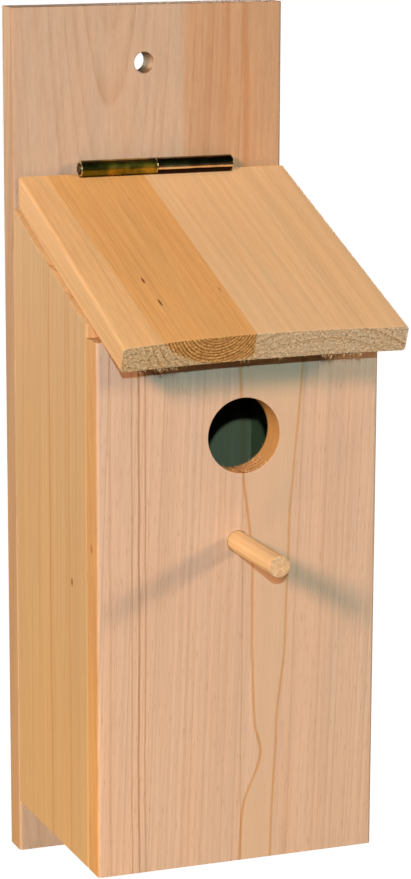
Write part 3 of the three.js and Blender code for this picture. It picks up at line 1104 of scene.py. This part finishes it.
def build_leaf(name, node, body, rear_y, side, head_side, finish):
    """A hinge leaf: a countersunk plate whose one half runs up and rolls round the pin."""
    axis = barrel_axis()
    far_top = axis.z - 2.9
    front_y = rear_y - LEAF_THICK
    half = LEAF_LENGTH / 2
    low = Vector((HINGE_X - half, front_y, LEAF_LOW))
    high = Vector((HINGE_X + half, rear_y, far_top))
    bm = block(low, high)
    corners = [e for e in edges_along(bm, 1) if e.verts[0].co.z < LEAF_LOW + 1]
    soften(bm, corners, LEAF_CORNER, 5)
    mouths = [(2.0, front_y), (1.2, rear_y)]
    if head_side > 0:
        mouths = [(2.0, rear_y), (1.2, front_y)]
    for step in (-1, 0, 1):
        bore(bm, HINGE_X + step * SCREW_SPACING, SCREW_HEIGHT, 2.6, mouths, 32)
    inner = HINGE_X + side * 0.05
    cut_plane(bm, Vector((inner, 0, 0)), Vector((1, 0, 0)))
    bmesh.ops.dissolve_faces(bm, faces=upper_faces(bm, far_top, inner, side))
    tops = upper_faces(bm, far_top, inner, side)
    outer_end = HINGE_X + side * HINGE_END
    lift = axis.y + BARREL_RADIUS - rear_y
    stages = [(lift, axis.z - 1.4), (0, axis.z)]
    for shift, level in stages:
        made = bmesh.ops.extrude_face_region(bm, geom=tops)
        bmesh.ops.delete(bm, geom=[face for face in tops if face.is_valid], context="FACES_ONLY")
        for v in fresh_verts(made):
            v.co.z = level
            v.co.y += shift
            if abs(v.co.x - (HINGE_X + side * half)) < 0.01:
                v.co.x = outer_end
        tops = [g for g in made["geom"] if isinstance(g, bmesh.types.BMFace)]
    geom = tops + [e for face in tops for e in face.edges] + [v for face in tops for v in face.verts]
    bmesh.ops.spin(
        bm,
        geom=list(dict.fromkeys(geom)),
        cent=axis,
        axis=(1, 0, 0),
        angle=ROLL_ANGLE,
        steps=60,
        use_merge=False,
        use_duplicate=False,
    )
    bmesh.ops.remove_doubles(bm, verts=bm.verts, dist=1e-3)
    bmesh.ops.dissolve_degenerate(bm, edges=bm.edges, dist=SPOT)
    rims = []
    for x in (inner, outer_end):
        for e in edges_at(bm, 0, x):
            arc = all(near_axis(v, axis, BARREL_RADIUS + 0.05) for v in e.verts)
            if arc and len(e.link_faces) == 2 and e.calc_face_angle(0) > 1:
                rims.append(e)
    soften(bm, rims, 0.16, 2)
    piece(name, bm, body, [finish], [node])


def build_pin():
    low, high = bench_box("hinge_pin")
    axis = (low + high) / 2
    radius = (high.z - low.z) / 2
    length = high.x - low.x
    bm = bmesh.new()
    half = [
        (0, 0.12),
        (radius * 0.35, 0.1),
        (radius * 0.7, 0.02),
        (radius - 0.45, 0),
        (radius - 0.18, 0.12),
        (radius, 0.45),
    ]
    profile = half + [(r, length - z) for r, z in reversed(half)]
    lathe(bm, profile, 48)
    put_in_place(bm, math.pi / 2, "Y", (low.x, axis.y, axis.z))
    piece("hinge_rod", bm, "box", [ROD_STEEL], ["hinge_pin"])


# ---------------------------------------------------------------- screws and nails
def fastener(profile, sides, recess):
    """A headed fastener with its head's face up at z = 0. profile goes on from the head's rim, down."""
    bm = bmesh.new()
    radius = profile[0][0]
    bmesh.ops.create_circle(bm, cap_ends=True, segments=sides, radius=radius)
    if recess:
        cross_recess(bm, *recess)
    rim = [e for e in bm.edges if e.is_boundary]
    for next_radius, z in profile[1:]:
        made = bmesh.ops.extrude_edge_only(bm, edges=rim)
        fresh = fresh_verts(made)
        grow = next_radius / radius
        bmesh.ops.scale(bm, vec=(grow, grow, 1), verts=fresh)
        for v in fresh:
            v.co.z = z
        rim = [g for g in made["geom"] if isinstance(g, bmesh.types.BMEdge)]
        radius = next_radius
    bmesh.ops.edgeloop_fill(bm, edges=rim)
    return bm


def cross_recess(bm, reach, width, depth):
    """Sinks a cross into the head's face."""
    cut_across(bm, 0, (-reach, -width, width, reach))
    cut_across(bm, 1, (-reach, -width, width, reach))
    arms = []
    for face in bm.faces:
        c = face.calc_center_median()
        if max(abs(c.x), abs(c.y)) < reach and min(abs(c.x), abs(c.y)) < width:
            arms.append(face)
    made = bmesh.ops.extrude_face_region(bm, geom=arms)
    bmesh.ops.delete(bm, geom=[face for face in arms if face.is_valid], context="FACES_ONLY")
    fresh = fresh_verts(made)
    bmesh.ops.scale(bm, vec=(0.72, 0.72, 1), verts=fresh)
    bmesh.ops.translate(bm, vec=Vector((0, 0, -depth)), verts=fresh)


def screw_profile():
    profile = [(SCREW_HEAD - 0.12, 0), (SCREW_HEAD, -0.1), (1.0, -0.95), (0.85, -1.3)]
    turns = 8
    for k in range(turns):
        z = -1.8 - k * 0.85
        profile += [(0.62, z), (0.9, z - 0.3), (0.62, z - 0.6)]
    return profile + [(0.4, -9.0), (0.06, -10)]


def nail_profile():
    flat = [(NAIL_HEAD - 0.1, 0), (NAIL_HEAD, -0.1), (NAIL_HEAD, -0.35), (0.9, -0.95)]
    return flat + [(0.9, -26.5), (0.7, -27.5), (0.08, -29.6)]


def place_fastener(bm, x, y, z, faces_rear, turn):
    """Turns a fastener so that its head faces the rear (+Y) or the front, and puts it in place."""
    bmesh.ops.rotate(bm, cent=(0, 0, 0), matrix=Matrix.Rotation(turn, 3, "Z"), verts=bm.verts)
    put_in_place(bm, -math.pi / 2 if faces_rear else math.pi / 2, "X", (x, y, z))


def build_fasteners():
    turns = random.Random(11)
    for number, step in enumerate((-1, 0, 1), 1):
        x = HINGE_X + step * SCREW_SPACING
        for leaf, body, y, faces_rear in (("back", "box", -13.0, False), ("roof", "lid", -13.1, True)):
            bm = fastener(screw_profile(), 32, SCREW_RECESS)
            inwards = -0.04 if faces_rear else 0.04
            place_fastener(bm, x, y + inwards, SCREW_HEIGHT, faces_rear, turns.uniform(0, math.pi))
            node = f"{leaf}_leaf_screw_{number}"
            piece(f"{leaf}_screw_{number}", bm, body, [PLATED_SCREW], [node], weigh=False)
    for node, x, z in nail_places():
        bm = fastener(nail_profile(), 24, None)
        place_fastener(bm, x, -NAIL_DEPTH, z, True, turns.uniform(0, math.pi))
        piece(f"{node}_round", bm, "box", [NAIL_STEEL], [node], weigh=False)


# ---------------------------------------------------------------- torn fibres
def sliver(bm, root, tip, width, lean):
    """A thin split of wood from root to tip."""
    run = tip - root
    turn = run.to_track_quat("Z", "Y").to_matrix().to_4x4() @ Matrix.Rotation(lean, 4, "Z")
    place = Matrix.Translation(root + run / 2) @ turn @ Matrix.Diagonal((1, 0.45, 1, 1))
    bmesh.ops.create_cone(
        bm,
        cap_ends=True,
        segments=5,
        radius1=width / 2,
        radius2=width * 0.12,
        depth=run.length,
        matrix=place,
    )


def build_splinters():
    draw = random.Random(5)
    low, high = bench_box("roof_panel")
    end_y = high.y - ROOF_LENGTH * math.cos(ROOF_SLOPE) + BOARD_THICK * math.sin(ROOF_SLOPE)
    edge_z = high.z - ROOF_LENGTH * math.sin(ROOF_SLOPE) - BOARD_THICK * math.cos(ROOF_SLOPE)
    bm = bmesh.new()
    spots = []
    for start, stop, count in ((-48, -33, 16), (24, 39, 30), (-33, 50, 12)):
        spots += [draw.uniform(start, stop) for _ in range(count)]
    for x in spots:
        across = (x - low.x) / (high.x - low.x)
        rise = roof_cup(across, 1) + roof_thinning(across, 1)
        root = Vector((x, end_y + draw.uniform(0.1, 0.6), edge_z + rise + draw.uniform(-0.4, 0.1)))
        length = draw.uniform(0.9, 2.0)
        away = Vector((draw.uniform(-0.7, 0.7), -0.1 - draw.random() * 0.5, -draw.uniform(0.4, 0.9)))
        sliver(bm, root, root + away.normalized() * length, draw.uniform(0.25, 0.6), draw.uniform(0, 3))
    piece("roof_splinters", bm, "lid", [ROOF_RIGHT_WOOD], crease=80, weigh=False)


def build_hole_fibres():
    draw = random.Random(8)
    low, high = bench_box("front_panel")
    bm = bmesh.new()
    for _ in range(34):
        angle = math.radians(draw.uniform(-105, -15))
        wall = Vector((HOLE_X + HOLE_RADIUS * math.cos(angle), 0, HOLE_Z + HOLE_RADIUS * math.sin(angle)))
        inward = Vector((-math.cos(angle), 0, -math.sin(angle)))
        root = wall - inward * 0.25
        root.y = draw.choice((high.y - 0.3, draw.uniform(low.y + 1, high.y - 0.5)))
        away = inward * draw.uniform(0.2, 0.5)
        away += Vector((draw.uniform(-0.5, 0.5), draw.uniform(-0.6, 0.5), 0.5))
        sliver(bm, root, root + away.normalized() * draw.uniform(0.6, 1.3), draw.uniform(0.2, 0.4), 0)
    piece("entrance_fibres", bm, "box", [FRONT_WOOD], crease=80, weigh=False)


build_backboard()
build_side("side_left")
build_side("side_right")
build_front()
build_floor()
build_perch()
build_roof()
build_leaf(
    "back_leaf_rolled", "hinge_leaf_back", "box", barrel_axis().y + 3.2, -1, -1, BACK_LEAF_STEEL
)
build_leaf(
    "roof_leaf_rolled", "hinge_leaf_roof", "lid", barrel_axis().y + 2.2, 1, 1, ROOF_LEAF_STEEL
)
build_pin()
build_fasteners()
build_splinters()
build_hole_fibres()
